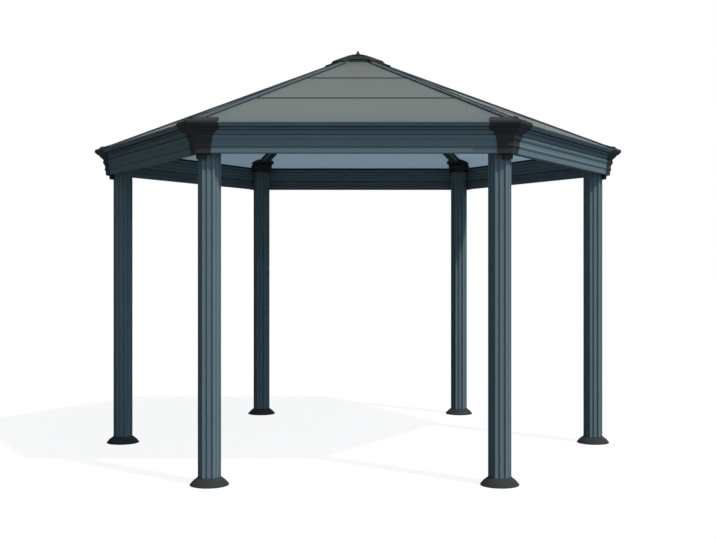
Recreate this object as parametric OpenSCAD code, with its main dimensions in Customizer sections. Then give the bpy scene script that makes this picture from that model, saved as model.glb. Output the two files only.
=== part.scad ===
// Six-sided open garden gazebo: reeded aluminium posts, cornice fascias, hipped sheet roof.
// Millimetres, +Z up, origin on the ground at the centre of the plan.
// Corner 1 is at the front left, and corners and sides are numbered anticlockwise seen from above.
// Side 1 is the front, and each side lies between the corner of its own number and the next one.

/* [Overall] */
// Distance from the centre of the gazebo to the axis of each post
post_circle_r = 1980; // [1800:10:2200]
// Height of the underside of the fascia above the ground
fascia_z = 2250; // [2000:10:2500]
// Rise of a roof facet for each unit of run
roof_rise = 0.42; // [0.38:0.01:0.46]

/* [Posts] */
// Width of a post across its flats
post_flat = 140; // [130:1:150]
// Wall thickness of the post extrusion under its flutes
post_wall = 2.5; // [2:0.5:4]
// Width of each of the two flutes in a post face
flute_w = 24; // [20:1:26]
// Depth of each flute
flute_depth = 7.5; // [3:0.5:8]
// Distance between the two flutes of a face, centre to centre
flute_pitch = 38; // [36:1:42]
// Radius of the base plate under a post
plate_r = 112; // [100:2:118]
// Thickness of the base plate
plate_t = 5; // [4:1:8]

/* [Foot covers] */
// Radius of the foot cover where it meets the ground
foot_r = 133; // [120:1:145]
// Height of the foot cover
foot_h = 56; // [50:1:70]
// Thickness of the foot cover's moulding
foot_wall = 4; // [3:0.5:5]

/* [Roof] */
// Thickness of the roof sheets
panel_t = 8; // [6:1:10]
// Distance in plan from the centre to the upper row of sheet joints
upper_seam_a = 731; // [650:1:800]
// Distance in plan from the centre to the lower row of sheet joints
lower_seam_a = 1313; // [1200:1:1400]
// Width of the joint bars between roof sheets
seam_w = 20; // [12:1:30]
// Width of the capping along each hip
hip_cap_w = 66; // [50:2:90]
// Width of the rafter under each hip
rafter_w = 64; // [50:1:70]
// Depth of the rafter under each hip
rafter_depth = 50; // [40:1:58]

/* [Apex] */
// Radius of the apex cap at its corners
apex_r = 226; // [210:2:260]
// Height of the point on top of the apex cap
finial_h = 38; // [20:1:50]

/* [Hidden] */
$fn = 64;
SIDES = 6;
function names(stem) = [for (k = [1:SIDES]) str(stem, k)];

frame_colour = [0.37, 0.44, 0.47];
cover_colour = [0.19, 0.19, 0.18];
sheet_colour = [0.48, 0.50, 0.50];

fit = 0.4;                                         // clearance between pieces that touch
half_corner = 180 / SIDES;                         // half of the angle between two corners
beam_a = post_circle_r * cos(half_corner) + post_flat / 2 + fit;   // fascia's inner face
half_bay = post_circle_r * sin(half_corner);       // from a bay's centre line to a post axis

// Fascia cornice: depth outwards from its inner face, height above its underside
fascia_h = 203.5;                                  // to the top of the nose
ledge_h = 196;                                     // shelf that carries the lower edge of the sheets
nose_back = 117;                                   // inner face of the nose
eave_d = 112;                                      // lower edge of the sheets
eave_a = beam_a + eave_d;

// Roof plane: the upper face of the sheets
pitch = atan(roof_rise);
hip_rise = roof_rise * cos(half_corner);           // rise along a hip for each unit of run
hip_pitch = atan(hip_rise);
hip_fall = roof_rise * sin(half_corner) * cos(hip_pitch);   // fall to each side of a hip
roof_apex_z = fascia_z + fascia_h + roof_rise * eave_a;     // where the facets' planes meet
sheet_drop = panel_t / cos(pitch);                 // sheet thickness measured upright
sheet_gap = 10;                                    // from a hip's line to the edge of a sheet
cap_lift = 10;                                     // top of a hip capping's wings over the sheets
rafter_groove = 8;                                 // depth of the grooves under a rafter
ridge_bead_r = 6;
cap_seat = 50;                                     // how far the cappings run in under the apex cap
// A hip capping ends where its square corners meet the nose: in plan, and down the hip
capping_reach = beam_a + nose_back - 2 - hip_cap_w / 2 * sin(half_corner);
capping_end = capping_reach / cos(half_corner) / cos(hip_pitch);

post_r = post_flat / 2 / cos(half_corner);
post_top = fascia_z + ledge_h - 6;

hub_a = 115;                                       // apex hub, from its axis to its flats
hub_top = roof_apex_z - 67;
hub_depth = 72;

function arc(c, r, from, to, steps = 6) =
    [for (i = [0:steps]) let (a = from + (to - from) * i / steps) c + r * [cos(a), sin(a)]];

// ---- places ----

module on_corner(k) {
    rotate([0, 0, 180 + k * 2 * half_corner]) children();
}

module on_side(k) {
    rotate([0, 0, 180 + (2 * k + 1) * half_corner]) children();
}

// Runs a section along a side that faces +X, from one y to another
module along_side(from, to) {
    translate([beam_a, to, fascia_z]) rotate([90, 0, 0]) linear_extrude(to - from) children();
}

// Runs a section down a hip that points to +X, between two distances from the apex
module along_hip(from, to) {
    translate([0, 0, roof_apex_z]) rotate([0, hip_pitch, 0])
        translate([from, 0, 0]) rotate([90, 0, 90]) linear_extrude(to - from) children();
}

// Lays an outline of x down the slope and y across it on the roof plane of a side facing +X
module on_facet(lift, thickness) {
    translate([0, 0, roof_apex_z]) rotate([0, pitch, 0])
        translate([0, 0, lift]) linear_extrude(thickness) children();
}

// The wedge of plan that belongs to a side facing +X, short of its two mitres by a gap
module bay_wedge(gap, height) {
    reach = post_circle_r * 1.4;
    start = gap / tan(half_corner);
    linear_extrude(height) polygon([
        [start, 0],
        [reach, (reach - start) * tan(half_corner)],
        [reach, -(reach - start) * tan(half_corner)]
    ]);
}

// ---- posts ----

module post_outline() {
    ease = 1.2;                                    // roundness of the six arrises
    flute_r = (flute_w * flute_w / 4 + flute_depth * flute_depth) / (2 * flute_depth);
    difference() {
        intersection() {
            circle(r = post_r, $fn = SIDES);
            circle(r = post_r - ease);
        }
        for (face = [0:SIDES - 1])
            for (hand = [-1, 1])
                rotate(half_corner + face * 2 * half_corner)
                    translate([post_flat / 2 + flute_r - flute_depth, hand * flute_pitch / 2])
                        circle(r = flute_r);
    }
}

module post() {
    bore_r = (post_flat / 2 - flute_depth - post_wall) / cos(half_corner);
    color(frame_colour) translate([post_circle_r, 0, plate_t + fit])
        linear_extrude(post_top - plate_t - fit) difference() {
            post_outline();
            circle(r = bore_r, $fn = SIDES);
        }
}

// Round plate under a post, with a drain hole in its middle and three holes for ground anchors
module base_plate() {
    anchor_r = 7;
    drain_r = 20;
    linear_extrude(plate_t) difference() {
        circle(r = plate_r);
        circle(r = drain_r);
        for (a = [60:120:300])
            rotate(a) translate([plate_r - 2 * anchor_r, 0]) circle(r = anchor_r);
    }
}

module base_plates() {
    color(frame_colour)
        for (k = [1:SIDES]) on_corner(k) translate([post_circle_r, 0, 0]) base_plate();
}

// ---- foot covers ----

module foot_outline() {
    neck_r = post_r + 2.5;
    lip_h = 7.5;
    bell = [for (i = [0:12]) let (t = i / 12) [
        foot_r - 2.5 - (foot_r - 2.5 - neck_r) * t,
        lip_h + (foot_h - lip_h) * t + 3 * sin(250 * t)
    ]];
    inside = [for (i = [10:-2:0]) bell[i] - [foot_wall * 0.9, foot_wall * 1.2]];
    polygon(concat(
        [[foot_r, 0], [foot_r, lip_h - 2.5]],
        bell,
        [[neck_r, foot_h], [neck_r - 22, foot_h], [neck_r - 22, foot_h - 6]],
        inside,
        [[foot_r - foot_wall - 1, 0]]
    ));
}

module foot_cover() {
    translate([post_circle_r, 0, 0]) difference() {
        rotate_extrude() foot_outline();
        translate([0, 0, -1])
            cylinder(h = foot_h + 2, r = post_r + fit, $fn = SIDES);
    }
}

module foot_covers() {
    color(cover_colour)
        for (k = [1:SIDES]) on_corner(k) foot_cover();
}

// ---- fascias ----

// The cornice's face, from its underside up to the nose, as depth and height
function cornice(shift) = [for (p = concat(
    arc([46, 4], 4, -90, 0, 3),
    [[51, 12], [53, 36], [57, 45]],
    arc([53, 53], 8, -10, 50, 4),
    [[57, 66], [58, 76]],
    arc([30, 116], 42, -45, 0),
    [[70, 119.5], [69, 128], [77, 142], [90, 151], [100, 167], [113, 174]],
    arc([126.5, 198], 6, -32, 0, 2)
)) p + shift];

// Shadow grooves between the mouldings of the face, as depth, height, width and opening
FACE_GROOVES = [[102, 170.5, 14, 9], [90, 154.5, 10, 5], [70, 122, 10, 7], [53, 40, 10, 2]];

// Reeds across the inner face, as height, depth and opening
INNER_REEDS = [[12, 5.5, 4], [33, 5.5, 4], [113, 3.5, 4], [144, 3.5, 4], [174, 6, 8]];

// The inner face is stepped back above its lower lip
module fascia_outline() {
    difference() {
        polygon(concat(
            [[2, 0]],
            cornice([0, 0]),
            arc([126.5, 198], 5.5, 0, 90, 4),
            [[nose_back, fascia_h], [nose_back, ledge_h], [0, ledge_h]],
            [[0, 86], [14, 83], [14, 46], [2, 40]]
        ));
        for (g = FACE_GROOVES)
            translate([g[0], g[1]]) square([g[2], g[3]], center = true);
        for (reed = INNER_REEDS)
            translate([0, reed[0]]) square([2 * reed[1], reed[2]], center = true);
    }
}

module fascia_chamber() {
    polygon([
        [9, 3], [43, 3], [44, 36], [44, 46], [53, 54], [51, 66], [50, 82], [61, 112], [59, 130],
        [63, 146], [77, 157], [86, 178], [110, 184], [113, 190], [113, ledge_h - 3.5],
        [11, ledge_h - 3.5], [11, 90], [18, 87], [18, 42], [9, 36]
    ]);
}

module fascia() {
    reach = half_bay * 1.3;
    color(frame_colour) intersection() {
        along_side(-reach, reach) difference() {
            fascia_outline();
            fascia_chamber();
        }
        translate([0, 0, fascia_z - 1]) bay_wedge(1, fascia_h + 2);
    }
}

// ---- hips ----

// A strip that follows the two roof planes at a hip, between two heights over the sheets
module hip_strip(half_w, low, high) {
    polygon([
        [0, high], [half_w, high - half_w * hip_fall], [half_w, low - half_w * hip_fall],
        [0, low], [-half_w, low - half_w * hip_fall], [-half_w, high - half_w * hip_fall]
    ]);
}

module rafter_outline() {
    top = -(sheet_drop + fit);
    flange_w = rafter_w / 2 + 16;
    flange = 3;
    side = [
        [flange_w, top - flange_w * hip_fall],
        [flange_w, top - flange - flange_w * hip_fall],
        [rafter_w / 2, top - flange - rafter_w / 2 * hip_fall],
        [rafter_w / 2, top - rafter_depth]
    ];
    difference() {
        polygon(concat([[0, top]], side, [for (i = [len(side) - 1:-1:0]) [-side[i][0], side[i][1]]]));
        for (hand = [-1, 1])
            translate([hand * rafter_w / 4.4, top - rafter_depth])
                square([9, 2 * rafter_groove], center = true);
    }
}

module rafter() {
    top = -(sheet_drop + fit);
    wall = 3;
    color(frame_colour) difference() {
        along_hip(hub_a - 10, (post_circle_r + 10) / cos(hip_pitch)) difference() {
            rafter_outline();
            translate([wall - rafter_w / 2, top - rafter_depth + wall + rafter_groove])
                square([rafter_w - 2 * wall, rafter_depth - rafter_groove - 16]);
        }
        translate([0, 0, hub_top - hub_depth - 60]) rotate(half_corner)
            cylinder(h = hub_depth + 200, r = (hub_a + fit) / cos(half_corner), $fn = SIDES);
    }
}

module capping_outline() {
    half_w = hip_cap_w / 2;
    brim = 6;
    bead = arc([0, cap_lift - 2], ridge_bead_r, 10, 90, 5);
    side = concat(
        [[half_w, fit - half_w * hip_fall], [half_w, cap_lift - 3 - half_w * hip_fall]],
        [[half_w - brim, cap_lift - 3 - (half_w - brim) * hip_fall]],
        [[half_w - brim, cap_lift - (half_w - brim) * hip_fall]],
        [[ridge_bead_r + 1, cap_lift - (ridge_bead_r + 1) * hip_fall]],
        bead
    );
    polygon(concat([[0, fit]], side, [for (i = [len(side) - 2:-1:0]) [-side[i][0], side[i][1]]]));
}

// Room for the capping and the sheets beside it
module capping_clearance() {
    hip_strip(hip_cap_w / 2 + 1, -2 * panel_t, cap_lift + ridge_bead_r - 2);
    translate([0, cap_lift]) circle(r = ridge_bead_r + 1);
}

module hip_capping() {
    along_hip((apex_r - cap_seat) / cos(hip_pitch), capping_end) capping_outline();
}

module hip_cappings() {
    color(frame_colour)
        for (k = [1:SIDES]) on_corner(k) hip_capping();
}

// ---- roof sheets and joint bars ----

// One sheet, between two distances from the centre in plan
module sheet(from, to) {
    x = [from / cos(pitch), to / cos(pitch)];
    y = [from, to] * tan(half_corner) - [1, 1] * sheet_gap / cos(half_corner);
    on_facet(-panel_t, panel_t)
        polygon([[x[0], -y[0]], [x[1], -y[1]], [x[1], y[1]], [x[0], y[0]]]);
}

module roof_panels() {
    web = 2.5;                                     // half of the joint bar's web, with clearance
    color(sheet_colour) {
        sheet(hub_a, upper_seam_a - web);
        sheet(upper_seam_a + web, lower_seam_a - web);
        sheet(lower_seam_a + web, eave_a);
    }
}

// H-shaped bar that holds the edges of two sheets, across a facet
module seam_bar(at) {
    flange = 2.5;
    web = 4;
    half_l = at * tan(half_corner) - (hip_cap_w / 2 + 3) / cos(half_corner);
    x = at / cos(pitch);
    for (lift = [fit, -panel_t - fit - flange])
        on_facet(lift, flange) translate([x - seam_w / 2, -half_l]) square([seam_w, 2 * half_l]);
    on_facet(-panel_t - fit - flange, panel_t + 2 * fit + 2 * flange)
        translate([x - web / 2, -half_l]) square([web, 2 * half_l]);
}

module seam_bars() {
    color(cover_colour)
        for (k = [1:SIDES])
            for (at = [upper_seam_a, lower_seam_a])
                on_side(k) seam_bar(at);
}

// ---- corner covers ----

// A shell over the fascia's face, with a plate over the edge of the roof and three fine lines that
// carry the mouldings of the face round the corner
module cover_outline() {
    line_r = 3;
    face_lines = [[108.6, 165], [96.7, 149.7], [74.4, 124.7], [62.6, 61.7]];
    outside = cornice([4, -3]);
    inside = cornice([1, -0.6]);
    plate_d = [127, 72];
    plate = [for (d = plate_d) [d, fascia_h + (eave_d - d) * roof_rise]];
    difference() {
        polygon(concat(
            [[4, -3]],
            outside,
            [[136.5, 207], [134, 212.5], plate[0] + [0, 19], plate[1] + [0, 19], plate[1] + [0, 1]],
            [plate[1] + [3, 0], plate[1] + [3, 15], [122, 214], [133.5, 206]],
            [for (i = [len(inside) - 1:-1:0]) inside[i]],
            [[4, -0.6]]
        ));
        for (at = face_lines)
            translate(at) circle(r = line_r, $fn = 6);
    }
}

// How far the cover reaches along the side, in from the post's axis, at heights over the underside
module cover_reach() {
    wide = 400;
    low = [half_bay - 34, 62];
    sweep = 80;
    flare = [for (a = [0:sweep / 5:sweep]) low + [-53 * (1 - cos(a)), 88 * sin(a) / sin(sweep)]];
    polygon(concat(
        [[half_bay + wide, -60], [half_bay - 27, -60], [half_bay - 27, 2], [half_bay - 33, 56]],
        flare,
        [[half_bay - 91, 158], [half_bay - 84, 215], [half_bay - 84, 300], [half_bay + wide, 300]]
    ));
}

module tongue_outline() {
    polygon([[fit, -1], [32, -1], [29.5, -18], [27.5, -33], [24.5, -36], [fit, -36]]);
}

module cover_wing() {
    height = 400;
    intersection() {
        union() {
            along_side(0, half_bay * 1.4) cover_outline();
            along_side(half_bay + 8, half_bay * 1.4) tongue_outline();
        }
        translate([0, 0, fascia_z - 60]) bay_wedge(-0.1, height);
        translate([beam_a - 5, 0, fascia_z]) rotate([90, 0, 90]) linear_extrude(height) cover_reach();
    }
}

// Rounded hood where the cover's plate crosses the capping
module cover_hood() {
    hood_r = 26;
    from = (eave_a - 45) / cos(half_corner) / cos(hip_pitch);
    along_hip(from, from + 30) intersection() {
        translate([0, 25 - hood_r]) circle(r = hood_r);
        hip_strip(hood_r, 0, 2 * hood_r);
    }
}

module corner_cover() {
    color(cover_colour) difference() {
        union() {
            for (hand = [0, 1])
                mirror([0, hand, 0]) rotate([0, 0, -half_corner]) cover_wing();
            cover_hood();
        }
        along_hip(post_circle_r, capping_end + 1) capping_clearance();
    }
}

// ---- eave seals ----

// Foam strip that closes the wedge between the fascia's shelf and the sheets
module eave_seal() {
    seal_d = [50, 62];
    under = [for (d = seal_d) fascia_h + (eave_d - d) * roof_rise - sheet_drop - fit];
    half_l = half_bay * 1.3;
    intersection() {
        along_side(-half_l, half_l) polygon([
            [seal_d[0], ledge_h + fit], [seal_d[1], ledge_h + fit],
            [seal_d[1], under[1]], [seal_d[0], under[0]]
        ]);
        translate([0, 0, fascia_z]) bay_wedge(rafter_w / 2 + 20, fascia_h * 2);
    }
}

module eave_seals() {
    color(cover_colour)
        for (k = [1:SIDES]) on_side(k) eave_seal();
}

// ---- post capitals ----

// Hexagonal head on the post, between the inner faces of two fascias, with a round roll under
// the sheets and a saddle for the rafter
module post_capital() {
    foot_z = post_top - 24;
    collar_r = post_r + 14;
    head_r = collar_r + 8;
    roll_r = 22;
    roll_z = foot_z + 102;
    clear = 0.6;
    difference() {
        translate([post_circle_r, 0, 0]) {
            translate([0, 0, foot_z]) cylinder(h = 200, r = collar_r, $fn = SIDES);
            translate([0, 0, foot_z + 24]) cylinder(h = 200, r = head_r, $fn = SIDES);
            translate([0, 0, roll_z]) rotate_extrude() translate([head_r - 2, 0]) circle(r = roll_r);
            translate([0, 0, roll_z]) cylinder(h = 100, r = head_r - 2);
        }
        translate([post_circle_r, 0, 0])
            cylinder(h = post_top + clear, r = post_r + clear, $fn = SIDES);
        for (hand = [-1, 1])
            rotate([0, 0, hand * half_corner]) {
                translate([beam_a - clear, -post_circle_r, 0])
                    cube([300, 2 * post_circle_r, fascia_z + ledge_h + clear]);
                translate([beam_a + 49, -post_circle_r, 0])
                    cube([300, 2 * post_circle_r, fascia_z + 2 * fascia_h]);
                on_facet(-panel_t - clear, 400)
                    translate([0, -post_circle_r]) square([2 * post_circle_r, 2 * post_circle_r]);
            }
        along_hip(post_circle_r * 0.8, post_circle_r * 1.3) rafter_saddle(clear);
    }
}

module rafter_saddle(clear) {
    top = -(sheet_drop + fit);
    half_w = rafter_w / 2 + clear;
    translate([-half_w, top - rafter_depth - clear]) square([2 * half_w, rafter_depth + 60]);
    hip_strip(half_w + 16, top - 3 - clear, top + 60);
}

module post_capitals() {
    color(cover_colour)
        for (k = [1:SIDES]) on_corner(k) post_capital();
}

// ---- apex ----

module apex_hub() {
    color(frame_colour) translate([0, 0, hub_top - hub_depth]) {
        rotate(half_corner) cylinder(h = hub_depth, r = hub_a / cos(half_corner), $fn = SIDES);
        translate([0, 0, -6]) cylinder(h = 7, r = hub_a - 20);
    }
}

// One tier of the apex cap: an upright hexagonal edge under a sloping top
module apex_tier(r, top_r, z, edge_h, slope_h) {
    translate([0, 0, z]) {
        cylinder(h = edge_h, r = r, $fn = SIDES);
        translate([0, 0, edge_h]) cylinder(h = slope_h, r1 = r, r2 = top_r, $fn = SIDES);
    }
}

// Turned point: a flared foot, a neck and a small pointed knob
module finial() {
    knob_r = 11;
    foot_r = 38;
    rotate_extrude() polygon([
        [0, 0],
        [foot_r, 0],
        [foot_r, 3],
        [foot_r * 0.6, finial_h * 0.26],
        [foot_r * 0.34, finial_h * 0.48],
        [knob_r * 0.8, finial_h * 0.56],
        [knob_r, finial_h * 0.74],
        [knob_r * 0.6, finial_h * 0.9],
        [0, finial_h]
    ]);
}

module apex_cap() {
    rim_z = roof_apex_z - roof_rise * apex_r * cos(half_corner) + 1;
    skirt_h = 26;
    ear_out = 44;
    slot = [6, 120, 9];
    color(cover_colour) difference() {
        union() {
            apex_tier(apex_r, apex_r * 0.93, rim_z, skirt_h, 19);
            apex_tier(apex_r * 0.9, apex_r * 0.63, rim_z + 40, 6, 12);
            apex_tier(apex_r * 0.6, apex_r * 0.41, rim_z + 54, 17, 4);
            apex_tier(apex_r * 0.38, apex_r * 0.2, rim_z + 70, 15, 6);
            translate([0, 0, rim_z + 90]) finial();
            for (k = [1:SIDES])
                on_corner(k) along_hip((apex_r - 30) / cos(hip_pitch), (apex_r + ear_out) / cos(hip_pitch))
                    hip_strip(28, cap_lift, cap_lift + 13);
        }
        translate([0, 0, roof_apex_z + fit - apex_r * 2 * hip_rise])
            cylinder(h = apex_r * 2 * hip_rise, r1 = apex_r * 2, r2 = 0, $fn = SIDES);
        for (k = [1:SIDES]) {
            on_corner(k) along_hip((apex_r - cap_seat - 2) / cos(hip_pitch), apex_r * 1.6)
                capping_clearance();
            on_side(k) translate([apex_r * cos(half_corner), 0, rim_z + skirt_h - 7])
                cube(slot, center = true);
        }
    }
}

// ---- assembly ----

for (k = [1:SIDES]) {
    on_corner(k) post();
    on_corner(k) corner_cover();
    on_side(k) fascia();
    on_corner(k) rafter();
    on_side(k) roof_panels();
}
base_plates();
foot_covers();
post_capitals();
eave_seals();
hip_cappings();
seam_bars();
apex_hub();
apex_cap();
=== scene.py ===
import math

import bmesh
import bpy
from mathutils import Matrix, Vector


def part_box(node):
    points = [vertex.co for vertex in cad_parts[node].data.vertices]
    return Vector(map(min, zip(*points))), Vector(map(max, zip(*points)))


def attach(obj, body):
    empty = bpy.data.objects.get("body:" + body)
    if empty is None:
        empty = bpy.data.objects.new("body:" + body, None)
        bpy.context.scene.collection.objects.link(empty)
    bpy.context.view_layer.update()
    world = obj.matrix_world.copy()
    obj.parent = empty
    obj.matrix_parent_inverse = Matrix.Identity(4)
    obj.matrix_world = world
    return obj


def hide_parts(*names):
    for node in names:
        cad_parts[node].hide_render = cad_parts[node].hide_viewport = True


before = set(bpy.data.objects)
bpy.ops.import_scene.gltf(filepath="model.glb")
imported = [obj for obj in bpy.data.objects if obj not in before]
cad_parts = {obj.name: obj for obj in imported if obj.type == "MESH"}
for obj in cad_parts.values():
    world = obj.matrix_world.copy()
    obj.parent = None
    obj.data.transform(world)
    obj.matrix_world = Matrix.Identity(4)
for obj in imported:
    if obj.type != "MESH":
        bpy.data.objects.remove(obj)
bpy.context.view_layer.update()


# ---- Posts ----------------------------------------------------------------------------------
# Six hexagonal aluminium extrusions with two flutes in each face, powder coated a dark slate
# grey with a satin finish. Each is welded to a round base plate, which its foot cover hides.

SIDES = 6
CORNERS = range(1, SIDES + 1)


def corner_turn(k):
    """Angle of corner k in plan; corner 1 is at the front left, and they run anticlockwise."""
    return math.radians(180 + 360 / SIDES * k)


def node_centre(name):
    low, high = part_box(name)
    return (low + high) / 2


post_centre = {k: node_centre(f"post_{k}").to_2d().to_3d() for k in CORNERS}
post_circle = post_centre[3].length


def add_node(tree, kind, inputs=None, **settings):
    """Adds a shader node. Inputs are values, or the output sockets to link from."""
    made = tree.nodes.new(kind)
    for name, value in settings.items():
        setattr(made, name, value)
    for name, value in (inputs or {}).items():
        if isinstance(value, bpy.types.NodeSocket):
            tree.links.new(value, made.inputs[name])
        else:
            made.inputs[name].default_value = value
    return made


def new_group(name, inputs, outputs):
    """A shader node group with named sockets, and its input and output nodes."""
    group = bpy.data.node_groups.new(name, "ShaderNodeTree")
    kinds = {"value": "NodeSocketFloat", "colour": "NodeSocketColor"}
    for label, kind in inputs.items():
        group.interface.new_socket(name=label, in_out="INPUT", socket_type=kinds[kind])
    for label, kind in outputs.items():
        group.interface.new_socket(name=label, in_out="OUTPUT", socket_type=kinds[kind])
    return group, group.nodes.new("NodeGroupInput").outputs, group.nodes.new("NodeGroupOutput").inputs


def place_group(tree, group, inputs):
    return add_node(tree, "ShaderNodeGroup", inputs, node_tree=group).outputs


# Slow drift of tone over a large surface
tone_drift, drift_in, drift_out = new_group(
    "tone_drift", {"Colour": "colour", "Amount": "value", "Patches": "value"}, {"Colour": "colour"})
place = add_node(tone_drift, "ShaderNodeTexCoord")
patches = add_node(tone_drift, "ShaderNodeTexNoise", {
    "Vector": place.outputs["Object"], "Scale": drift_in["Patches"], "Detail": 3.0, "Roughness": 0.55})
swing = add_node(tone_drift, "ShaderNodeMath", {0: patches.outputs["Fac"], 1: 0.5}, operation="SUBTRACT")
share = add_node(tone_drift, "ShaderNodeMath", {
    0: swing.outputs[0], 1: drift_in["Amount"]}, operation="MULTIPLY")
gain = add_node(tone_drift, "ShaderNodeMath", {0: share.outputs[0], 1: 1.0}, operation="ADD")
scaled = add_node(tone_drift, "ShaderNodeVectorMath", {
    0: drift_in["Colour"], "Scale": gain.outputs[0]}, operation="SCALE")
tone_drift.links.new(scaled.outputs["Vector"], drift_out["Colour"])

# Dust that settles on faces that look up, and splashes near the ground
settled_dust, dust_in, dust_out = new_group(
    "settled_dust", {"Colour": "colour", "Dust": "colour", "Amount": "value"},
    {"Colour": "colour", "Mask": "value"})
SPLASH_TOP = 0.28
surface = add_node(settled_dust, "ShaderNodeNewGeometry")
normal_xyz = add_node(settled_dust, "ShaderNodeSeparateXYZ", {0: surface.outputs["Normal"]})
place_xyz = add_node(settled_dust, "ShaderNodeSeparateXYZ", {0: surface.outputs["Position"]})
facing_up = add_node(settled_dust, "ShaderNodeMapRange", {
    "Value": normal_xyz.outputs["Z"], "From Min": 0.35, "From Max": 0.95})
splash = add_node(settled_dust, "ShaderNodeMapRange", {
    "Value": place_xyz.outputs["Z"], "From Min": SPLASH_TOP, "From Max": 0.0, "To Max": 0.55})
either = add_node(settled_dust, "ShaderNodeMath", {
    0: facing_up.outputs[0], 1: splash.outputs[0]}, operation="MAXIMUM")
clouds = add_node(settled_dust, "ShaderNodeTexNoise", {
    "Vector": surface.outputs["Position"], "Scale": 7.0, "Detail": 6.0, "Roughness": 0.6})
broken = add_node(settled_dust, "ShaderNodeMapRange", {
    "Value": clouds.outputs["Fac"], "From Min": 0.35, "From Max": 0.7})
patchy = add_node(settled_dust, "ShaderNodeMath", {
    0: either.outputs[0], 1: broken.outputs[0]}, operation="MULTIPLY")
dusty = add_node(settled_dust, "ShaderNodeMath", {
    0: patchy.outputs[0], 1: dust_in["Amount"]}, operation="MULTIPLY")
covered = add_node(settled_dust, "ShaderNodeMix", {
    "Factor": dusty.outputs[0], "A": dust_in["Colour"], "B": dust_in["Dust"]}, data_type="RGBA")
settled_dust.links.new(covered.outputs["Result"], dust_out["Colour"])
settled_dust.links.new(dusty.outputs[0], dust_out["Mask"])

# Painted shade that darkens grooves and inner corners, the more the surface closes round them
hollow_shade, hollow_shade_in, hollow_shade_out = new_group(
    "hollow_shade", {"Colour": "colour", "PaintedShade": "colour", "Amount": "value", "Reach": "value"},
    {"Colour": "colour", "Mask": "value"})
openness = add_node(hollow_shade, "ShaderNodeAmbientOcclusion", {
    "Distance": hollow_shade_in["Reach"]}, samples=8, only_local=True)
closed_in = add_node(hollow_shade, "ShaderNodeMapRange", {
    "Value": openness.outputs["AO"], "From Min": 1.0, "From Max": 0.3})
shade_share = add_node(hollow_shade, "ShaderNodeMath", {
    0: closed_in.outputs[0], 1: hollow_shade_in["Amount"]}, operation="MULTIPLY")
darkened = add_node(hollow_shade, "ShaderNodeMix", {
    "Factor": shade_share.outputs[0], "A": hollow_shade_in["Colour"], "B": hollow_shade_in["PaintedShade"]}, data_type="RGBA")
hollow_shade.links.new(darkened.outputs["Result"], hollow_shade_out["Colour"])
hollow_shade.links.new(shade_share.outputs[0], hollow_shade_out["Mask"])

# Fine relief of a coating or of a grained mould
fine_grain, grain_in, grain_out = new_group(
    "fine_grain", {"Grains": "value"}, {"Height": "value"})
place = add_node(fine_grain, "ShaderNodeTexCoord")
bumps = add_node(fine_grain, "ShaderNodeTexNoise", {
    "Vector": place.outputs["Object"], "Scale": grain_in["Grains"], "Detail": 2.0, "Roughness": 0.5})
fine_grain.links.new(bumps.outputs["Fac"], grain_out["Height"])

DUST = (0.30, 0.285, 0.25, 1)
# Near-black colour that the painted shade in grooves and inner corners darkens towards
PAINTED_SHADE_COLOUR = (0.012, 0.013, 0.014, 1)


def coated_material(name, colour, roughness, specular, grains, relief, drift, dust, hollow_shade_amount=0.8):
    """A coating or moulding: drifting tone, painted shade in its hollows, a little dust, and a fine grain
    with its height in metres.
    """
    made = bpy.data.materials.new(name)
    made.use_nodes = True
    tree = made.node_tree
    shader = tree.nodes["Principled BSDF"]
    toned = place_group(tree, tone_drift, {"Colour": colour, "Amount": drift, "Patches": 1.7})
    # Painted shade: the hollows are darkened before the dust goes on
    hollow_shaded = place_group(tree, hollow_shade, {
        "Colour": toned["Colour"], "PaintedShade": PAINTED_SHADE_COLOUR, "Amount": hollow_shade_amount, "Reach": 0.022})
    dusted = place_group(tree, settled_dust, {"Colour": hollow_shaded["Colour"], "Dust": DUST, "Amount": dust})
    grain = place_group(tree, fine_grain, {"Grains": grains})
    rough_from_dust = add_node(tree, "ShaderNodeMapRange", {
        "Value": dusted["Mask"], "To Min": roughness, "To Max": 0.8})
    bump = add_node(tree, "ShaderNodeBump", {"Height": grain["Height"], "Distance": relief, "Strength": 1.0})
    tree.links.new(dusted["Colour"], shader.inputs["Base Color"])
    tree.links.new(rough_from_dust.outputs[0], shader.inputs["Roughness"])
    tree.links.new(bump.outputs["Normal"], shader.inputs["Normal"])
    shader.inputs["Specular IOR Level"].default_value = specular
    return made


frame_paint = coated_material(
    "slate_powder_coat", (0.1345, 0.181, 0.197, 1), roughness=0.6, specular=0.002,
    grains=420, relief=0.00012, drift=0.12, dust=0.06)


def paint_node(name, material):
    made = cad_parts[name]
    made.data.materials.clear()
    made.data.materials.append(material)
    return made


for k in CORNERS:
    paint_node(f"post_{k}", frame_paint)
paint_node("base_plates", frame_paint)


# ---- Foot covers ----------------------------------------------------------------------------
# Round moulded covers of dark plastic, set round the posts to hide the plates and anchors. Each
# has a thin lip on the ground, a bell with faint steps, and a collar round the post. It is in two
# halves, and two small screws beside each split hold them.

cover_plastic = coated_material(
    "charcoal_moulding", (0.043, 0.044, 0.044, 1), roughness=0.5, specular=0.003,
    grains=900, relief=0.0001, drift=0.16, dust=0.03)


def new_piece(name, mesh, material, smooth_below=40):
    """A piece of its own from a finished bmesh. It shades smooth across gentle edges."""
    data = bpy.data.meshes.new(name)
    bmesh.ops.recalc_face_normals(mesh, faces=mesh.faces)
    mesh.to_mesh(data)
    mesh.free()
    data.materials.append(material)
    data.shade_smooth()
    data.set_sharp_from_angle(angle=math.radians(smooth_below))
    made = bpy.data.objects.new(name, data)
    bpy.context.scene.collection.objects.link(made)
    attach(made, "root")
    return made


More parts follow.
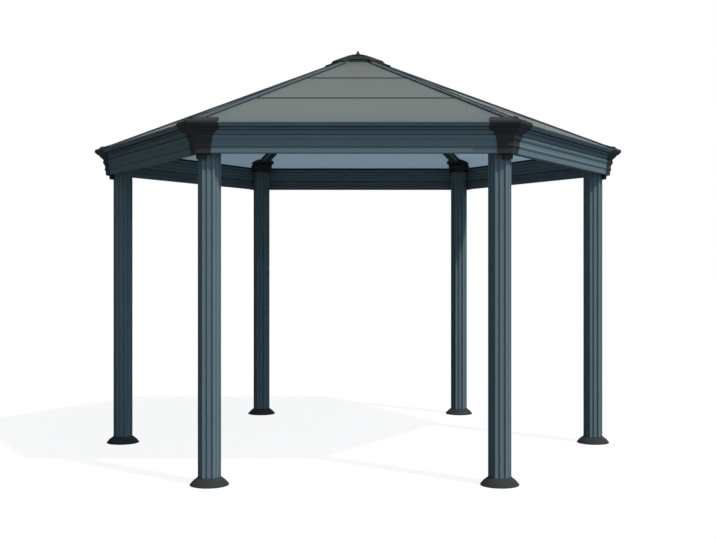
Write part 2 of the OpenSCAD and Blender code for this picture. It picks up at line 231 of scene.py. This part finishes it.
def skin_rings(mesh, rings):
    """Faces between rings of points, each ring joined to the next."""
    made = [[mesh.verts.new(point) for point in ring] for ring in rings]
    for ring, following in zip(made, made[1:]):
        for i in range(len(ring)):
            j = (i + 1) % len(ring)
            mesh.faces.new((ring[i], ring[j], following[j], following[i]))
    return made


def skin_solid(mesh, rings):
    """Faces between rings of points, and one over each end."""
    made = skin_rings(mesh, rings)
    mesh.faces.new(made[0])
    mesh.faces.new(made[-1])


def ring_point(radius, angle, height):
    """A point at a radius and an angle round an upright axis."""
    return Vector((radius * math.cos(angle), radius * math.sin(angle), height))


foot_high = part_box("foot_covers")[1]
post_low, post_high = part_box("post_3")
POST_FLAT = post_high.y - post_low.y
FOOT_R = foot_high.x - post_circle
FOOT_H = foot_high.z
LIP_H = 0.0075
BELL_R = FOOT_R - 0.0025
BELL_RISE = FOOT_H - 0.0085
BELL_PARTS = 18
BELL_SWELL = 0.003
SWELL_TURN = math.radians(250)
STEP_PLACES = (0.34, 0.67)
STEP_IN = 0.0012
STEP_UP = 0.0002
STEP_KEPT = 0.0002
COLLAR_R = POST_FLAT / 2 / math.cos(math.pi / SIDES) + 0.0025
SPLIT_W = 0.0016
SPLIT_D = 0.0012
SPLIT_FLOOR = 0.4
HALF_PARTS = 44
HOLE_GAP = 0.0016
HOLE_DEPTH = 0.012
WALL_ACROSS = 0.0042
WALL_DOWN = 0.0045
INNER_RIM_R = FOOT_R - 0.006


def hexagon_r(angle, flat):
    """Distance from a hexagon's axis to its edge, in one direction. A corner lies at angle 0."""
    return flat / 2 / math.cos(angle % (math.pi / 3) - math.pi / SIDES)


def foot_rings():
    """Rings of a foot cover: lip, bell with two steps, collar, the post's hole, and the inside."""
    bell = [(FOOT_R, 0.0), (FOOT_R, 0.0046), (FOOT_R - 0.0006, 0.0064), (FOOT_R - 0.0022, LIP_H)]
    steps_passed = 0
    for i in range(1, BELL_PARTS + 1):
        t = i / BELL_PARTS
        if steps_passed < len(STEP_PLACES) and t >= STEP_PLACES[steps_passed]:
            steps_passed += 1
            bell.append((bell[-1][0] - STEP_IN, bell[-1][1] + STEP_UP))
        radius = BELL_R - (BELL_R - COLLAR_R) * t
        height = LIP_H + BELL_RISE * t + BELL_SWELL * math.sin(SWELL_TURN * t)
        bell.append((radius - STEP_KEPT * steps_passed, min(height, FOOT_H)))
    spread = SPLIT_W / FOOT_R
    groove = spread * SPLIT_FLOOR
    angles = []
    for turn in (0.0, math.pi):
        angles += [turn - spread, turn - groove, turn + groove, turn + spread]
        angles += [turn + math.pi * i / HALF_PARTS for i in range(1, HALF_PARTS)]
    rings = []
    for radius, height in bell:
        ring = []
        for angle in angles:
            from_split = abs((angle + math.pi / 2) % math.pi - math.pi / 2)
            depth = SPLIT_D if from_split < spread / 2 else 0.0
            ring.append(ring_point(radius - depth, angle, height))
        rings.append(ring)
    for height in (FOOT_H, FOOT_H - HOLE_DEPTH):
        rings.append([ring_point(hexagon_r(a, POST_FLAT + 2 * HOLE_GAP), a, height) for a in angles])
    inside = [(radius - WALL_ACROSS, height - WALL_DOWN) for radius, height in bell[-4:4:-3]]
    for radius, height in inside + [(INNER_RIM_R, 0.0)]:
        rings.append([ring_point(radius, a, height) for a in angles])
    return rings + rings[:1]


foot_mesh = bmesh.new()
for k in CORNERS:
    stand = Matrix.Translation(post_centre[k]) @ Matrix.Rotation(corner_turn(k), 4, "Z")
    skin_rings(foot_mesh, [[stand @ point for point in ring] for ring in foot_rings()])
bmesh.ops.remove_doubles(foot_mesh, verts=foot_mesh.verts, dist=0.00001)
foot_shells = new_piece("foot_shells", foot_mesh, cover_plastic, smooth_below=55)
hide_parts("foot_covers")

# The screw's head, as shares of its radius: distance from the axis, and height
HEAD_DOME = [(1.0, -0.06), (1.0, 0.16), (0.92, 0.36), (0.74, 0.5), (0.48, 0.56)]
HEAD_RECESS = [(0.44, 0.54), (0.41, 0.2)]
HEAD_LOBES = 6
LOBE_DEPTH = 0.16
HEAD_POINTS = 24
HEAD_R = 0.0048
SMALL_HEAD_R = 0.0042


def add_screw(mesh, at, up, head_r=HEAD_R):
    """A pan head with a six-lobed recess, at a point of a surface that faces up."""
    seat = Matrix.Translation(at) @ up.to_track_quat("Z", "Y").to_matrix().to_4x4()
    turns = [2 * math.pi * i / HEAD_POINTS for i in range(HEAD_POINTS)]
    rings = [[seat @ (head_r * ring_point(r, a, z)) for a in turns] for r, z in HEAD_DOME]
    for r, z in HEAD_RECESS:
        lobed = [(a, r * (1 + LOBE_DEPTH * math.cos(HEAD_LOBES * a))) for a in turns]
        rings.append([seat @ (head_r * ring_point(q, a, z)) for a, q in lobed])
    skin_solid(mesh, rings)


screw_steel = coated_material(
    "blackened_steel", (0.05, 0.052, 0.054, 1), roughness=0.4, specular=0.3,
    grains=2500, relief=0.00002, drift=0.1, dust=0.02)
screw_steel.node_tree.nodes["Principled BSDF"].inputs["Metallic"].default_value = 0.6

# Roughly the way the bell faces there: outwards, and up
BELL_OUT = 0.6
BELL_UP = 0.8
FOOT_SCREW_R = FOOT_R - 0.021
FOOT_SCREW_H = 0.0285
FOOT_SCREW_TURN = 0.11
foot_screws = bmesh.new()
for k in CORNERS:
    for turn in (0, math.pi):
        for side in (-FOOT_SCREW_TURN, FOOT_SCREW_TURN):
            direction = ring_point(1, corner_turn(k) + turn + side, 0)
            seat = post_centre[k] + FOOT_SCREW_R * direction + Vector((0, 0, FOOT_SCREW_H))
            add_screw(foot_screws, seat, direction * BELL_OUT + Vector((0, 0, BELL_UP)), SMALL_HEAD_R)
new_piece("foot_cover_screws", foot_screws, screw_steel)


# ---- Fascias --------------------------------------------------------------------------------
# Six aluminium beams between the posts, extruded with a stepped cornice face and mitred at
# their ends. The roof sheets lie on the shelf behind the nose. Two screws through the inner
# wall hold each end.

COATED_ROUND = 0.0008
MOULDED_ROUND = 0.001
SHARP_FROM = math.radians(35)


def soften_edges(piece, width):
    """Rounds the sharp arrises of a piece by the small radius that a coating or a mould leaves."""
    weld = piece.modifiers.new("weld", "WELD")
    weld.merge_threshold = 0.00001
    bevel = piece.modifiers.new("arris", "BEVEL")
    bevel.width = width
    bevel.segments = 2
    bevel.limit_method = "ANGLE"
    bevel.angle_limit = SHARP_FROM
    bevel.harden_normals = True
    tidied = piece.modifiers.new("tidied", "WELD")
    tidied.merge_threshold = 0.00002


for k in CORNERS:
    soften_edges(paint_node(f"fascia_{k}", frame_paint), COATED_ROUND)

fascia_low, fascia_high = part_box("fascia_1")
BEAM_IN = -fascia_high.y
FASCIA_UNDER = fascia_low.z
HALF_BAY = post_circle * math.sin(math.pi / SIDES)
FASCIA_SCREW_Y = HALF_BAY - 0.125
FASCIA_SCREW_HEIGHTS = (0.128, 0.159)
SCREW_SINK = 0.0002


def side_place(k):
    """From the axes of side k, outwards, along it and up, to the row frame."""
    return Matrix.Rotation(corner_turn(k) + math.pi / SIDES, 4, "Z")


fascia_screws = bmesh.new()
for k in CORNERS:
    place = side_place(k)
    inwards = place @ Vector((-1, 0, 0))
    for hand in (-1, 1):
        for height in FASCIA_SCREW_HEIGHTS:
            seat = Vector((BEAM_IN + SCREW_SINK, hand * FASCIA_SCREW_Y, FASCIA_UNDER + height))
            add_screw(fascia_screws, place @ seat, inwards)
new_piece("fascia_screws", fascia_screws, screw_steel)


# ---- Corner covers --------------------------------------------------------------------------
# Moulded plastic shells over the mitres of the fascias. They follow the cornice, with a
# tongue below over the post's outer arris and a plate above over the end of the hip. One
# screw through each side of the plate holds them down.

for k in CORNERS:
    soften_edges(paint_node(f"corner_cover_{k}", cover_plastic), MOULDED_ROUND)

sheet_top = max(
    (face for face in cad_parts["roof_panels_1"].data.polygons if face.normal.z > 0.5),
    key=lambda face: face.area)
roof_rise = math.hypot(sheet_top.normal.x, sheet_top.normal.y) / sheet_top.normal.z
roof_peak = sheet_top.normal.dot(sheet_top.center) / sheet_top.normal.z
PLATE_LIFT = 0.019
COVER_SCREW_OUT = BEAM_IN + 0.096
COVER_SCREW_Y = HALF_BAY - 0.056

cover_screws = bmesh.new()
for k in CORNERS:
    place = side_place(k)
    up_slope = place @ Vector((roof_rise, 0, 1)).normalized()
    for hand in (-1, 1):
        height = roof_peak - COVER_SCREW_OUT * roof_rise + PLATE_LIFT
        seat = place @ Vector((COVER_SCREW_OUT, hand * COVER_SCREW_Y, height))
        add_screw(cover_screws, seat, up_slope)
new_piece("corner_cover_screws", cover_screws, screw_steel)


# ---- Post capitals --------------------------------------------------------------------------
# Plastic heads inside the roof, where each hip rafter lands on its post. Four dark screws hold
# the collar of each to the flats of its post that face the middle.

paint_node("post_capitals", cover_plastic)

CAPITAL_WALL = 0.014
CAPITAL_FLAT = POST_FLAT / 2 + CAPITAL_WALL * math.cos(math.pi / SIDES)
CAPITAL_SCREW_Y = 0.024
CAPITAL_SCREW_UP = 0.012
CAPITAL_HEAD_R = 0.0045
# The two flats that face the middle, in twelfths of a turn from the corner's own direction
INNER_FLATS = (5, 7)

screw_height = Vector((0, 0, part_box("post_capitals")[0].z + CAPITAL_SCREW_UP))
capital_screws = bmesh.new()
for k in CORNERS:
    for flat in INNER_FLATS:
        outward = ring_point(1, corner_turn(k) + flat * math.pi / SIDES, 0)
        across = outward.cross(Vector((0, 0, 1)))
        for hand in (-1, 1):
            seat = post_centre[k] + CAPITAL_FLAT * outward + hand * CAPITAL_SCREW_Y * across
            add_screw(capital_screws, seat + screw_height, outward, CAPITAL_HEAD_R)
new_piece("capital_screws", capital_screws, screw_steel)


# ---- Hub and hip rafters --------------------------------------------------------------------
# Box-section aluminium rafters, grooved underneath, that run from a hexagonal hub down to the
# posts. A folded bracket under each, with two screws in either leg, joins it to the hub.

paint_node("apex_hub", frame_paint)
for k in CORNERS:
    paint_node(f"hip_rafter_{k}", frame_paint)

hip_pitch = math.atan(roof_rise * math.cos(math.pi / SIDES))
hip_fall = roof_rise * math.sin(math.pi / SIDES) * math.cos(hip_pitch)
HUB_FLAT = 0.1155
SHEET_DEPTH = 0.0091
RAFTER_H = 0.050
RAFTER_UNDER = SHEET_DEPTH + RAFTER_H
BRACKET_T = 0.003
BRACKET_HALF_W = 0.022
BRACKET_OUT = 0.062
BRACKET_DOWN = 0.030
BRACKET_GAP = 0.0003
BRACKET_ROUND = 0.0006
RAFTER_SCREWS = (0.024, 0.048)
HUB_SCREW_Y = 0.012
HUB_SCREW_DOWN = 0.019
SEAT_INSET = 0.0001


def hip_side(k):
    """From the axes of hip k, outwards, across and up, to the row frame."""
    return Matrix.Rotation(corner_turn(k), 4, "Z")


def under_rafter(out):
    """Height of a rafter's underside at a distance from the centre in plan."""
    return roof_peak - out * math.tan(hip_pitch) - RAFTER_UNDER / math.cos(hip_pitch)


far = HUB_FLAT + BRACKET_OUT
near = HUB_FLAT + BRACKET_T
hub_corner = under_rafter(HUB_FLAT)
bracket_section = [
    (HUB_FLAT, hub_corner - BRACKET_GAP), (far, under_rafter(far) - BRACKET_GAP),
    (far, under_rafter(far) - BRACKET_GAP - BRACKET_T),
    (near, under_rafter(near) - BRACKET_GAP - BRACKET_T),
    (near, hub_corner - BRACKET_DOWN), (HUB_FLAT, hub_corner - BRACKET_DOWN)]
brackets = bmesh.new()
hub_screws = bmesh.new()
for k in CORNERS:
    place = hip_side(k)
    skin_solid(brackets, [
        [place @ Vector((out, across, up)) for out, up in bracket_section]
        for across in (-BRACKET_HALF_W, BRACKET_HALF_W)])
    down = place @ Vector((-math.sin(hip_pitch), 0, -math.cos(hip_pitch)))
    for along in RAFTER_SCREWS:
        out = HUB_FLAT + along
        seat = place @ Vector((out, 0, under_rafter(out) - SEAT_INSET - BRACKET_T))
        add_screw(hub_screws, seat, down)
    for across in (-HUB_SCREW_Y, HUB_SCREW_Y):
        seat = place @ Vector((near - SEAT_INSET, across, hub_corner - HUB_SCREW_DOWN))
        add_screw(hub_screws, seat, place @ Vector((1, 0, 0)), SMALL_HEAD_R)
soften_edges(new_piece("hub_brackets", brackets, frame_paint), BRACKET_ROUND)
new_piece("hub_screws", hub_screws, screw_steel)


# ---- Roof sheets ----------------------------------------------------------------------------
# Smoke-grey twin-wall polycarbonate, three sheets to a facet. Thin webs every centimetre run
# down the slope between the two skins. The sheet diffuses the daylight that comes through it.

RIB_PITCH = 0.010
SHEET_DIFFUSION = 0.6
SKIN_COLOUR = (0.262, 0.325, 0.328, 1)
# The smoke tint is the sheet's own; its warm cast on up-facing skins and blue cast on down-facing skins are
# painted light
SMOKE_WITH_WARM_LIGHT_UP = (0.36, 0.298, 0.20, 1)
SMOKE_WITH_BLUE_LIGHT_DOWN = (0.53, 0.634, 0.72, 1)

roof_sheet = bpy.data.materials.new("smoke_polycarbonate")
roof_sheet.use_nodes = True
tree = roof_sheet.node_tree
shader = tree.nodes["Principled BSDF"]
surface = add_node(tree, "ShaderNodeNewGeometry")
along_eave = add_node(tree, "ShaderNodeVectorMath", {
    0: surface.outputs["True Normal"], 1: (0, 0, 1)}, operation="CROSS_PRODUCT")
level = add_node(tree, "ShaderNodeVectorMath", {0: along_eave.outputs["Vector"]}, operation="NORMALIZE")
across = add_node(tree, "ShaderNodeVectorMath", {
    0: surface.outputs["Position"], 1: level.outputs["Vector"]}, operation="DOT_PRODUCT")
turns = add_node(tree, "ShaderNodeMath", {
    0: across.outputs["Value"], 1: 2 * math.pi / RIB_PITCH}, operation="MULTIPLY")
wave = add_node(tree, "ShaderNodeMath", {0: turns.outputs[0]}, operation="COSINE")
ribs = add_node(tree, "ShaderNodeMapRange", {
    "Value": wave.outputs[0], "From Min": 0.75, "From Max": 1.0, "To Min": 1.0, "To Max": 0.82})
toned = place_group(tree, tone_drift, {
    "Colour": SKIN_COLOUR, "Amount": 0.10, "Patches": 0.9})
dusted = place_group(tree, settled_dust, {"Colour": toned["Colour"], "Dust": DUST, "Amount": 0.10})
height = add_node(tree, "ShaderNodeSeparateXYZ", {0: surface.outputs["Position"]})
# Painted light and shade: the sheets are paler towards the eave and darker towards the peak
painted_height_shade = add_node(tree, "ShaderNodeMapRange", {
    "Value": height.outputs["Z"], "From Min": 2.45, "From Max": 3.25, "To Min": 1.09, "To Max": 0.87})
paler_low = add_node(tree, "ShaderNodeMath", {
    0: ribs.outputs[0], 1: painted_height_shade.outputs[0]}, operation="MULTIPLY")
ribbed = add_node(tree, "ShaderNodeVectorMath", {
    0: dusted["Colour"], "Scale": paler_low.outputs[0]}, operation="SCALE")
tree.links.new(ribbed.outputs["Vector"], shader.inputs["Base Color"])
shader.inputs["Roughness"].default_value = 0.4
shader.inputs["Specular IOR Level"].default_value = 0.1
facing = add_node(tree, "ShaderNodeSeparateXYZ", {0: surface.outputs["True Normal"]})
# Painted light: up-facing skins pass a warm tint, down-facing skins a blue one
from_above = add_node(tree, "ShaderNodeMath", {0: facing.outputs["Z"], 1: 0.0}, operation="GREATER_THAN")
tint = add_node(tree, "ShaderNodeMix", {
    "Factor": from_above.outputs[0], "A": SMOKE_WITH_BLUE_LIGHT_DOWN, "B": SMOKE_WITH_WARM_LIGHT_UP}, data_type="RGBA")
smoke = add_node(tree, "ShaderNodeVectorMath", {
    0: tint.outputs["Result"], "Scale": ribs.outputs[0]}, operation="SCALE")
diffused = add_node(tree, "ShaderNodeBsdfTranslucent", {"Color": smoke.outputs["Vector"]})
both = add_node(tree, "ShaderNodeMixShader", {
    0: SHEET_DIFFUSION, 1: shader.outputs[0], 2: diffused.outputs[0]})
tree.links.new(both.outputs[0], tree.nodes["Material Output"].inputs["Surface"])

for k in CORNERS:
    paint_node(f"roof_panels_{k}", roof_sheet)


# ---- Eave strips ----------------------------------------------------------------------------
# Thin folded aluminium angles over the lower edges of the sheets. Each closes the open ends of
# the channels, with one leg on the sheet and one down behind the fascia's nose.

STRIP_LEG = 0.014
SHEET_END = 0.112
COVER_HALF_W = 0.084
STRIP_LAP = 0.010
slope = math.atan(roof_rise)
# The strip's outline: down the slope from the sheet's end, and up off the sheet
angle_section = [(-STRIP_LEG, 0.0001), (-STRIP_LEG, 0.0009), (0.0011, 0.0009),
                 (0.0011, -0.0072), (0.0003, -0.0072), (0.0003, 0.0001)]
eave_out = BEAM_IN + SHEET_END
eave_up = roof_peak - eave_out * roof_rise
strip_half = HALF_BAY - COVER_HALF_W + STRIP_LAP
eave_strips = bmesh.new()
for k in CORNERS:
    place = side_place(k)
    skin_solid(eave_strips, [[
        place @ Vector((
            eave_out + down * math.cos(slope) + lift * math.sin(slope), along,
            eave_up - down * math.sin(slope) + lift * math.cos(slope)))
        for down, lift in angle_section] for along in (-strip_half, strip_half)])
new_piece("eave_strips", eave_strips, frame_paint, smooth_below=20)


# ---- Eave seals -----------------------------------------------------------------------------
# Strips of dark closed-cell foam between the fascias' shelves and the sheets. They are cut
# from a roll and stuck to the shelf before the sheets go on.

paint_node("eave_seals", cover_plastic)


# ---- Joint bars -----------------------------------------------------------------------------
# H-section bars of dark plastic that hold the edges of two sheets across a facet. They are
# extruded, cut off square, and pushed onto the sheets' edges.

paint_node("seam_bars", cover_plastic)


# ---- Hip cappings ---------------------------------------------------------------------------
# Low aluminium strips screwed down over the edges of the sheets. A black rubber gasket runs
# along each edge, and a dark plastic strip snaps over the ridge bead and hides the screws.

# The cappings carry the frame's slate powder coat; this darker copy of it is painted shade against the
# strong light from above
capping_paint_shaded = coated_material(
    "slate_powder_coat_shaded", (0.105, 0.138, 0.148, 1), roughness=0.6, specular=0.002,
    grains=420, relief=0.00012, drift=0.14, dust=0.06)
paint_node("hip_cappings", capping_paint_shaded)

gasket_rubber = coated_material(
    "black_rubber", (0.018, 0.019, 0.020, 1), roughness=0.6, specular=0.003,
    grains=1500, relief=0.00005, drift=0.1, dust=0.02)

CAP_RIM_R = 0.226
COVER_PLATE_IN = BEAM_IN + 0.072
HALF_CAPPING = 0.033
END_GAP = 0.004
GASKET_FROM_CAP = 0.012
GASKET_FROM_PLATE = 0.024
# The gasket's lip: outwards from the capping's edge, and up from the sheet
GASKET_LIP = [(0.0002, 0.0003), (0.0046, 0.0003), (0.0044, 0.0024), (0.0032, 0.0042), (0.0002, 0.0052)]
SNAP_TOP = 0.0146
SNAP_R = 0.0066
# In degrees: where the snap strip's arc starts, and how far it turns
SNAP_FROM = -20
SNAP_TURN = 220
SNAP_PARTS = 12


def hip_place(k):
    """From a hip's own axes, down the slope, across and up, to the row frame."""
    turned = hip_side(k) @ Matrix.Translation((0, 0, roof_peak))
    return turned @ Matrix.Rotation(hip_pitch, 4, "Y")


def sweep_hip(mesh, k, section, start, end):
    """Extrudes a section, as places across and up, along one hip."""
    place = hip_place(k)
    skin_solid(mesh, [[place @ Vector((x, across, up)) for across, up in section] for x in (start, end)])


hip_start = (CAP_RIM_R + END_GAP) / math.cos(hip_pitch)
hip_end = COVER_PLATE_IN / math.cos(math.pi / SIDES) / math.cos(hip_pitch)
snap_section = [
    (SNAP_R * math.cos(a), SNAP_TOP - SNAP_R + SNAP_R * math.sin(a))
    for a in (math.radians(SNAP_FROM + SNAP_TURN * i / SNAP_PARTS) for i in range(SNAP_PARTS + 1))]
gaskets = bmesh.new()
snap_strips = bmesh.new()
for k in CORNERS:
    for hand in (-1, 1):
        lip_section = [
            (hand * (HALF_CAPPING + out), up - (HALF_CAPPING + out) * hip_fall) for out, up in GASKET_LIP]
        sweep_hip(gaskets, k, lip_section, hip_start + GASKET_FROM_CAP, hip_end - GASKET_FROM_PLATE)
    sweep_hip(snap_strips, k, snap_section, hip_start, hip_end - END_GAP)
new_piece("hip_gaskets", gaskets, gasket_rubber)
new_piece("hip_snap_strips", snap_strips, cover_plastic)


# ---- Apex cap -------------------------------------------------------------------------------
# Stepped hexagonal moulding of dark plastic over the top of the roof, with a point and small
# ears on the hips. Two screws through each ear hold it down.

soften_edges(paint_node("apex_cap", cover_plastic), MOULDED_ROUND)

EAR_TOP = 0.023
EAR_SCREW_OUT = 0.256
EAR_SCREW_Y = 0.015
ear_screws = bmesh.new()
for k in CORNERS:
    place = hip_place(k)
    for hand in (-1, 1):
        along = EAR_SCREW_OUT / math.cos(hip_pitch)
        seat = place @ Vector((along, hand * EAR_SCREW_Y, EAR_TOP - EAR_SCREW_Y * hip_fall))
        tilted = place.to_3x3() @ Vector((0, hand * hip_fall, 1)).normalized()
        add_screw(ear_screws, seat, tilted)
new_piece("apex_ear_screws", ear_screws, screw_steel)


# ---- Floor, light and camera ----------------------------------------------------------------
# A pale floor and a plain pale surround. A high lamp stands to the right and in front. The
# surround fills the shade, most of all from the lamp's side, and has a softer glow behind.

SUN_TOWARDS = Vector((0.475, -0.381, 0.793))
SUN_STRENGTH = 2.9
SURROUND_LIT_SIDE = (0.93, 1.22, 1.55, 1)
SURROUND_FAR_SIDE = (0.02, 0.03, 0.045, 1)
LIT_SIDE_TOWARDS = (0.64, -0.77, 0)
SURROUND_BACK = (0.85, 0.95, 1.05)
BACK_TOWARDS = (-0.05, 1.0, 0)
LIT_SIDE_FALLOFF = 3.5
BOUNCE_TOWARDS = (0.0, -1.0, 0)
BOUNCE_BEHIND = 0.05
BOUNCE_AHEAD = 0.22
EYE = Vector((0.120, -8.998, 1.517))
LENS_MM = 53.68
LENS_SHIFT = (-0.0198, -0.0108)
FLOOR_HALF = 60
FLOOR_DROP = 0.0005
FLOOR_GLOW = 0.89
FLOOR_SHADE = (0.13, 0.13, 0.13, 1)


def seen_directly(tree):
    """1 on rays from the camera, in mirrors and through glass, 0 on light that falls on things."""
    path = add_node(tree, "ShaderNodeLightPath")
    eye_or_mirror = add_node(tree, "ShaderNodeMath", {
        0: path.outputs["Is Camera Ray"], 1: path.outputs["Is Glossy Ray"]}, operation="MAXIMUM")
    return add_node(tree, "ShaderNodeMath", {
        0: eye_or_mirror.outputs[0], 1: path.outputs["Is Transmission Ray"]}, operation="MAXIMUM").outputs[0]


floor_mesh = bmesh.new()
bmesh.ops.create_grid(floor_mesh, x_segments=8, y_segments=8, size=FLOOR_HALF)
floor_data = bpy.data.meshes.new("floor")
floor_mesh.to_mesh(floor_data)
floor_mesh.free()
floor = bpy.data.objects.new("floor", floor_data)
bpy.context.scene.collection.objects.link(floor)
floor.location.z = -FLOOR_DROP

floor_pale = bpy.data.materials.new("pale_floor")
floor_pale.use_nodes = True
tree = floor_pale.node_tree
tree.nodes.clear()
glow = add_node(tree, "ShaderNodeEmission", {"Color": (1, 1, 1, 1), "Strength": FLOOR_GLOW})
shaded = add_node(tree, "ShaderNodeBsdfDiffuse", {"Color": FLOOR_SHADE})
shown = add_node(tree, "ShaderNodeAddShader", {0: glow.outputs[0], 1: shaded.outputs[0]})
spot = add_node(tree, "ShaderNodeNewGeometry")
ahead = add_node(tree, "ShaderNodeVectorMath", {
    0: spot.outputs["Position"], 1: BOUNCE_TOWARDS}, operation="DOT_PRODUCT")
reflected = add_node(tree, "ShaderNodeMapRange", {
    "Value": ahead.outputs["Value"], "From Min": 0.0, "From Max": 3.0,
    "To Min": BOUNCE_BEHIND, "To Max": BOUNCE_AHEAD})
bounce = add_node(tree, "ShaderNodeBsdfDiffuse", {"Color": reflected.outputs[0]})
mixed = add_node(tree, "ShaderNodeMixShader", {
    0: seen_directly(tree), 1: bounce.outputs[0], 2: shown.outputs[0]})
add_node(tree, "ShaderNodeOutputMaterial", {"Surface": mixed.outputs[0]})
floor_data.materials.append(floor_pale)

world = bpy.data.worlds.new("surround")
bpy.context.scene.world = world
world.use_nodes = True
tree = world.node_tree
tree.nodes.clear()
aim = add_node(tree, "ShaderNodeTexCoord")
towards_light = add_node(tree, "ShaderNodeVectorMath", {
    0: aim.outputs["Generated"], 1: LIT_SIDE_TOWARDS}, operation="DOT_PRODUCT")
share = add_node(tree, "ShaderNodeMapRange", {"Value": towards_light.outputs["Value"], "From Min": -1.0})
weighted = add_node(tree, "ShaderNodeMath", {0: share.outputs[0], 1: LIT_SIDE_FALLOFF}, operation="POWER")
soft = add_node(tree, "ShaderNodeMix", {
    "Factor": weighted.outputs[0], "A": SURROUND_FAR_SIDE, "B": SURROUND_LIT_SIDE}, data_type="RGBA")
towards_back = add_node(tree, "ShaderNodeVectorMath", {
    0: aim.outputs["Generated"], 1: BACK_TOWARDS}, operation="DOT_PRODUCT")
back_share = add_node(tree, "ShaderNodeMapRange", {"Value": towards_back.outputs["Value"], "From Min": 0.3})
back_glow = add_node(tree, "ShaderNodeVectorMath", {
    0: SURROUND_BACK, "Scale": back_share.outputs[0]}, operation="SCALE")
surround = add_node(tree, "ShaderNodeVectorMath", {
    0: soft.outputs["Result"], 1: back_glow.outputs["Vector"]}, operation="ADD")
fill = add_node(tree, "ShaderNodeBackground", {"Color": surround.outputs["Vector"], "Strength": 1.0})
white = add_node(tree, "ShaderNodeBackground", {"Color": (1, 1, 1, 1), "Strength": 1.0})
mixed = add_node(tree, "ShaderNodeMixShader", {
    0: seen_directly(tree), 1: fill.outputs[0], 2: white.outputs[0]})
add_node(tree, "ShaderNodeOutputWorld", {"Surface": mixed.outputs[0]})

sun_data = bpy.data.lights.new("key", "SUN")
sun_data.energy = SUN_STRENGTH
sun_data.angle = math.radians(2.0)
sun_data.color = (1.0, 0.975, 0.93)
sun = bpy.data.objects.new("key", sun_data)
sun.rotation_mode = "QUATERNION"
sun.rotation_quaternion = SUN_TOWARDS.to_track_quat("Z", "Y")
bpy.context.scene.collection.objects.link(sun)

camera_data = bpy.data.cameras.new("camera")
camera_data.lens = LENS_MM
camera_data.shift_x, camera_data.shift_y = LENS_SHIFT
camera = bpy.data.objects.new("camera", camera_data)
camera.location = EYE
camera.rotation_euler = (math.pi / 2, 0, 0)
bpy.context.scene.collection.objects.link(camera)
bpy.context.scene.camera = camera

bpy.context.scene.view_settings.view_transform = "Standard"
